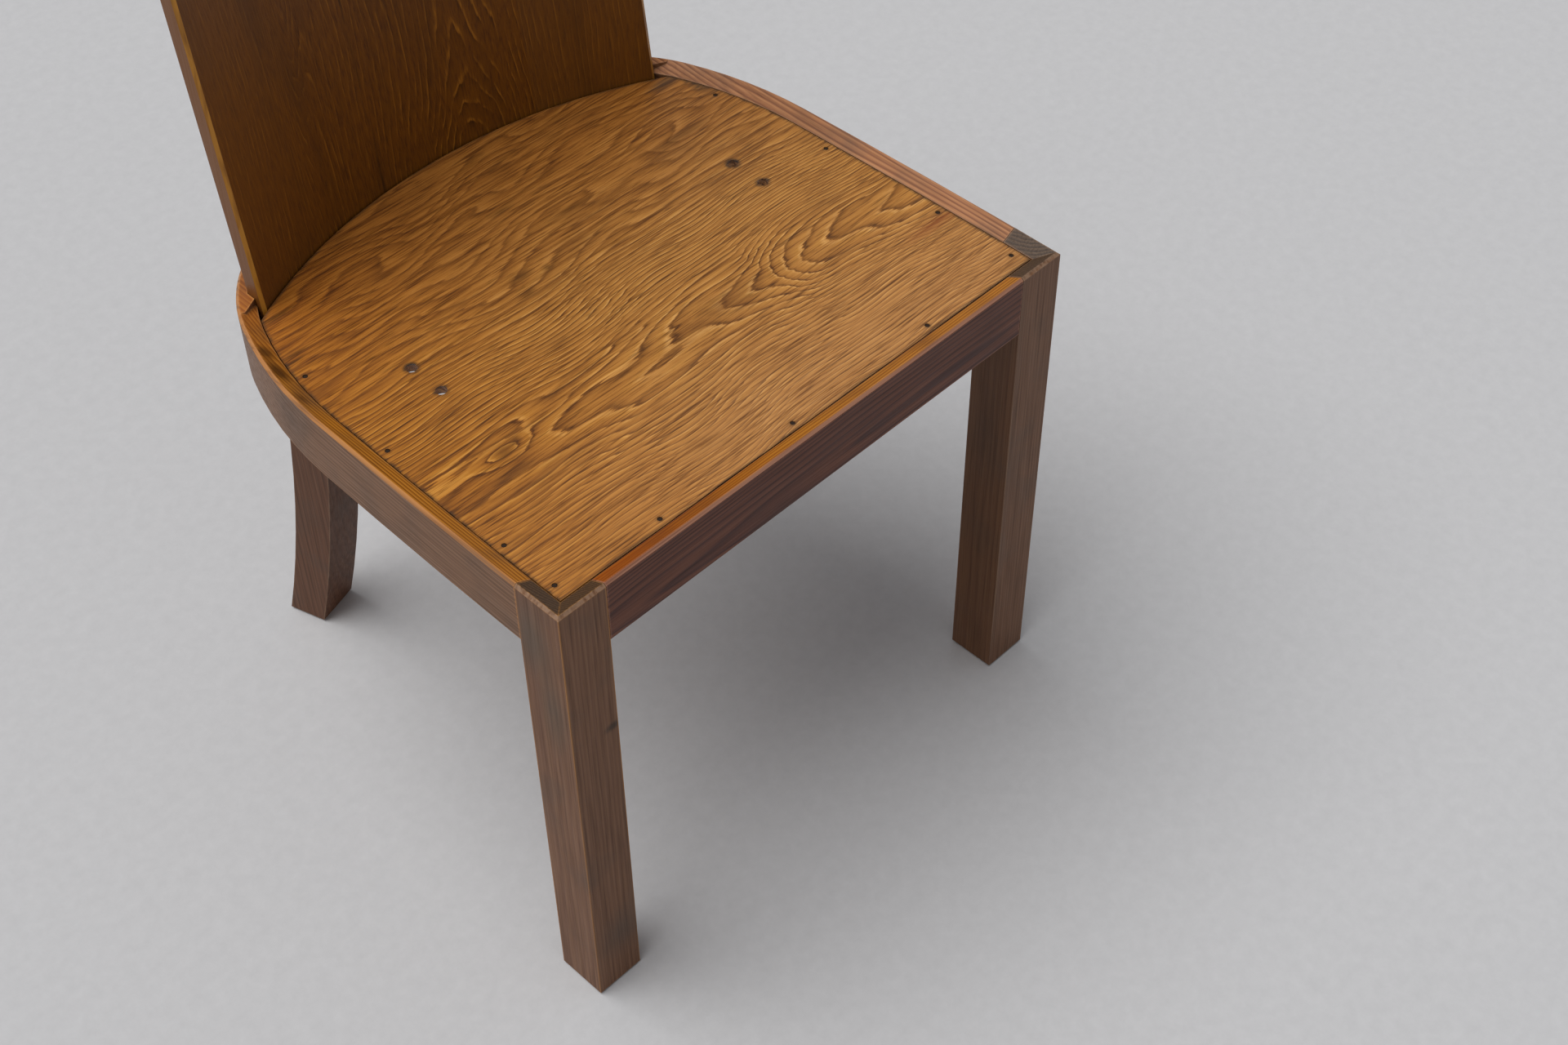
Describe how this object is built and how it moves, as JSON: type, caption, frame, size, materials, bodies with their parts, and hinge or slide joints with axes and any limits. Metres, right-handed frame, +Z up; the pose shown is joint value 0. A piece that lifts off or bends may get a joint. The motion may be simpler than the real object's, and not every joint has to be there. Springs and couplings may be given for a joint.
{
  "type": "wooden side chair",
  "caption": "Stained pine side chair: square front legs, sabre rear legs, curved rim frame, sunk plywood seat nailed down, and a bent plywood back that leans.",
  "frame": {"origin": "on the floor, under the middle of the chair's box", "axes": "+Z up, the sitter faces -Y, +X to the sitter's left"},
  "size_m": [0.48, 0.4832, 0.8],
  "materials": {
    "stained_pine_leg": "worn satin varnish over brown stain",
    "stained_pine_rail": "worn satin varnish over brown stain, pale rubbed arrises",
    "red_stained_pine": "worn satin varnish over red-brown stain",
    "seat_plywood": "golden brown stain on brushed raised grain",
    "back_plywood": "dark brown stain under satin varnish",
    "bare_pine": "bare sawn wood gone brown",
    "iron_nail": "dark oxidised iron",
    "steel_screw": "dull steel"
  },
  "bodies": {
    "root": {"front_leg_left": "stained_pine_leg", "rear_leg_left": "stained_pine_leg", "side_rail_left": "stained_pine_rail", "front_leg_right": "stained_pine_leg", "rear_leg_right": "stained_pine_leg", "side_rail_right": "stained_pine_rail", "front_rail": "red_stained_pine", "back_rail": "stained_pine_rail", "seat_panel": "seat_plywood", "back_panel": "back_plywood", "seat_bearer": "bare_pine", "seat_nail_left_1": "iron_nail", "seat_nail_left_2": "iron_nail", "seat_nail_left_3": "iron_nail", "seat_nail_left_4": "iron_nail", "seat_nail_right_1": "iron_nail", "seat_nail_right_2": "iron_nail", "seat_nail_right_3": "iron_nail", "seat_nail_right_4": "iron_nail", "seat_nail_front_1": "iron_nail", "seat_nail_front_2": "iron_nail", "seat_nail_front_3": "iron_nail", "back_screw_1": "steel_screw", "back_screw_2": "steel_screw", "back_screw_3": "steel_screw", "back_screw_4": "steel_screw", "back_screw_5": "steel_screw", "back_screw_6": "steel_screw"}
  },
  "joints": []
}
